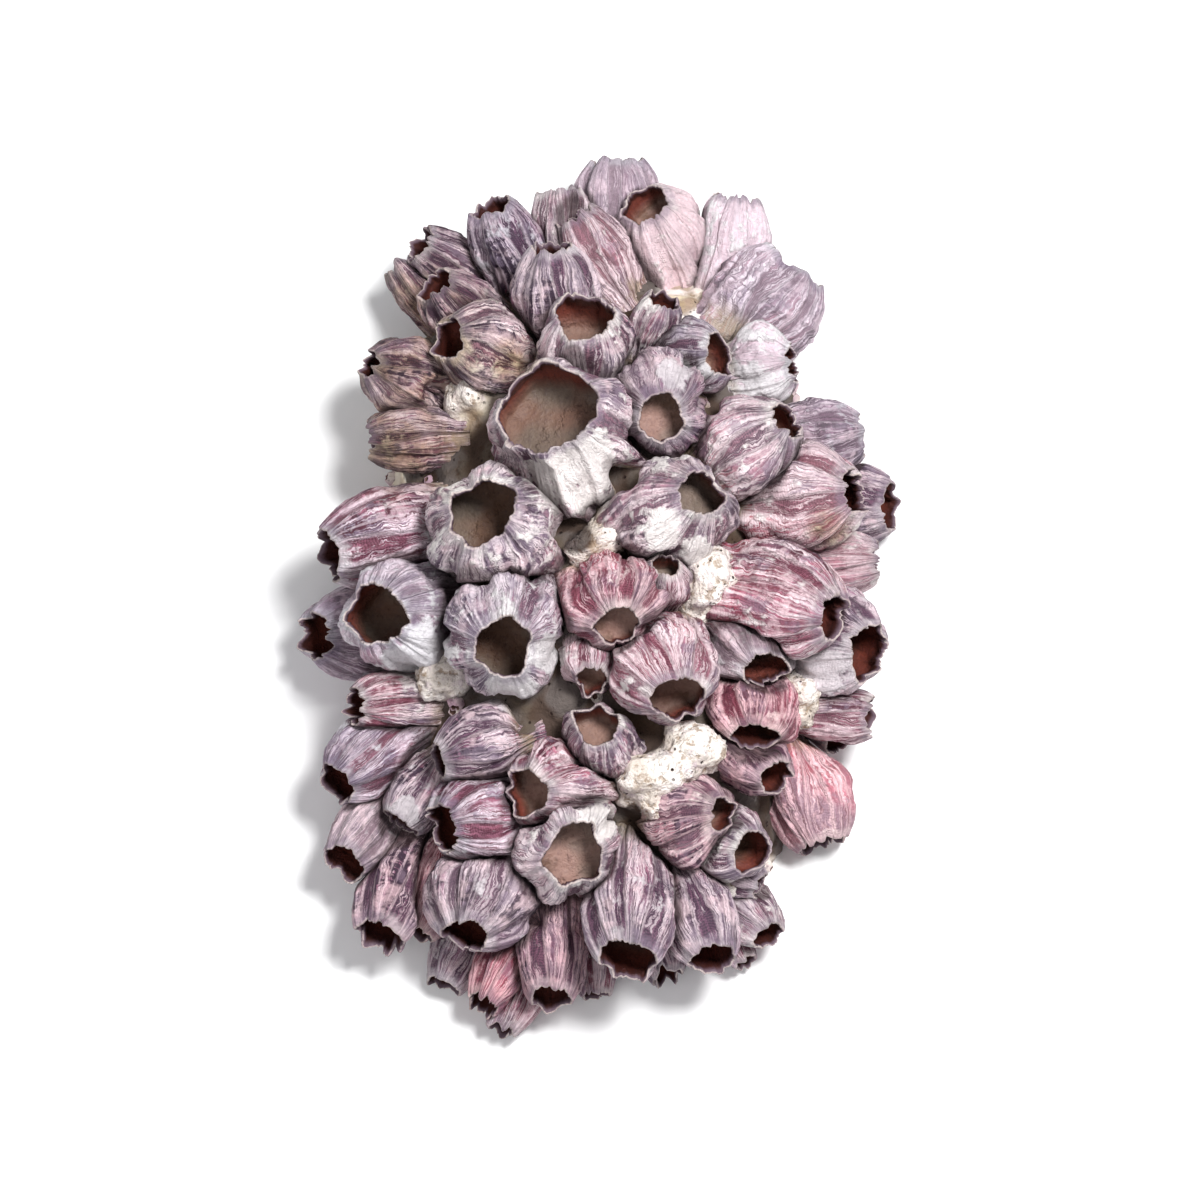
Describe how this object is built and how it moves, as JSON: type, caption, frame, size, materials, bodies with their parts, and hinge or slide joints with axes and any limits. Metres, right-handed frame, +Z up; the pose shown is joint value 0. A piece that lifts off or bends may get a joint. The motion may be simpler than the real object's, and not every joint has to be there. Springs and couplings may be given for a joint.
{
  "type": "barnacle cluster",
  "caption": "Dried cluster of purple and white acorn barnacle shells with open mouths, grown together on a domed crust that is cut off flat underneath.",
  "frame": {"origin": "middle of the flat cut underneath the crust", "axes": "+Z up out of the cut, +Y along the cluster towards its top end, +X across it to the right as the camera sees it"},
  "size_m": [0.167, 0.2549, 0.0822],
  "materials": {
    "crust": "chalky cream lime crust, rough and pitted, with ochre and khaki stains",
    "slate_shell": "dry matt shell, slate purple bands between chalk white ribs",
    "rose_shell": "dry matt shell, rose and lilac stripes with fine white ribs",
    "pale_shell": "dry matt shell, worn pinkish white with mauve bands"
  },
  "bodies": {
    "root": {"crust": "crust", "barnacle_top_1": "slate_shell", "barnacle_top_2": "pale_shell", "barnacle_top_3": "rose_shell", "barnacle_top_4": "slate_shell", "barnacle_top_5": "slate_shell", "barnacle_top_6": "slate_shell", "barnacle_top_7": "pale_shell", "barnacle_top_8": "slate_shell", "barnacle_top_9": "pale_shell", "barnacle_top_10": "pale_shell", "barnacle_top_11": "slate_shell", "barnacle_top_12": "pale_shell", "barnacle_top_13": "pale_shell", "barnacle_top_14": "pale_shell", "barnacle_top_15": "pale_shell", "barnacle_top_16": "slate_shell", "barnacle_left_1": "slate_shell", "barnacle_left_2": "pale_shell", "barnacle_left_3": "rose_shell", "barnacle_left_4": "pale_shell", "barnacle_left_5": "slate_shell", "barnacle_left_6": "pale_shell", "barnacle_left_7": "rose_shell", "barnacle_left_8": "rose_shell", "barnacle_left_9": "slate_shell", "barnacle_left_10": "slate_shell", "barnacle_left_11": "slate_shell", "barnacle_left_12": "rose_shell", "barnacle_great": "pale_shell", "barnacle_middle_1": "pale_shell", "barnacle_middle_2": "rose_shell", "barnacle_middle_3": "rose_shell", "barnacle_middle_4": "pale_shell", "barnacle_middle_5": "rose_shell", "barnacle_middle_6": "pale_shell", "barnacle_right_1": "pale_shell", "barnacle_right_2": "slate_shell", "barnacle_right_3": "rose_shell", "barnacle_right_4": "slate_shell", "barnacle_right_5": "rose_shell", "barnacle_right_6": "rose_shell", "barnacle_right_7": "slate_shell", "barnacle_right_8": "slate_shell", "barnacle_right_9": "rose_shell", "barnacle_right_10": "rose_shell", "barnacle_right_11": "slate_shell", "barnacle_right_12": "rose_shell", "barnacle_front_1": "pale_shell", "barnacle_front_2": "pale_shell", "barnacle_front_3": "pale_shell", "barnacle_front_4": "slate_shell", "barnacle_front_5": "slate_shell", "barnacle_front_6": "slate_shell", "barnacle_front_7": "rose_shell", "barnacle_front_8": "slate_shell", "barnacle_front_9": "slate_shell", "barnacle_front_10": "rose_shell", "barnacle_front_11": "slate_shell"}
  },
  "joints": []
}
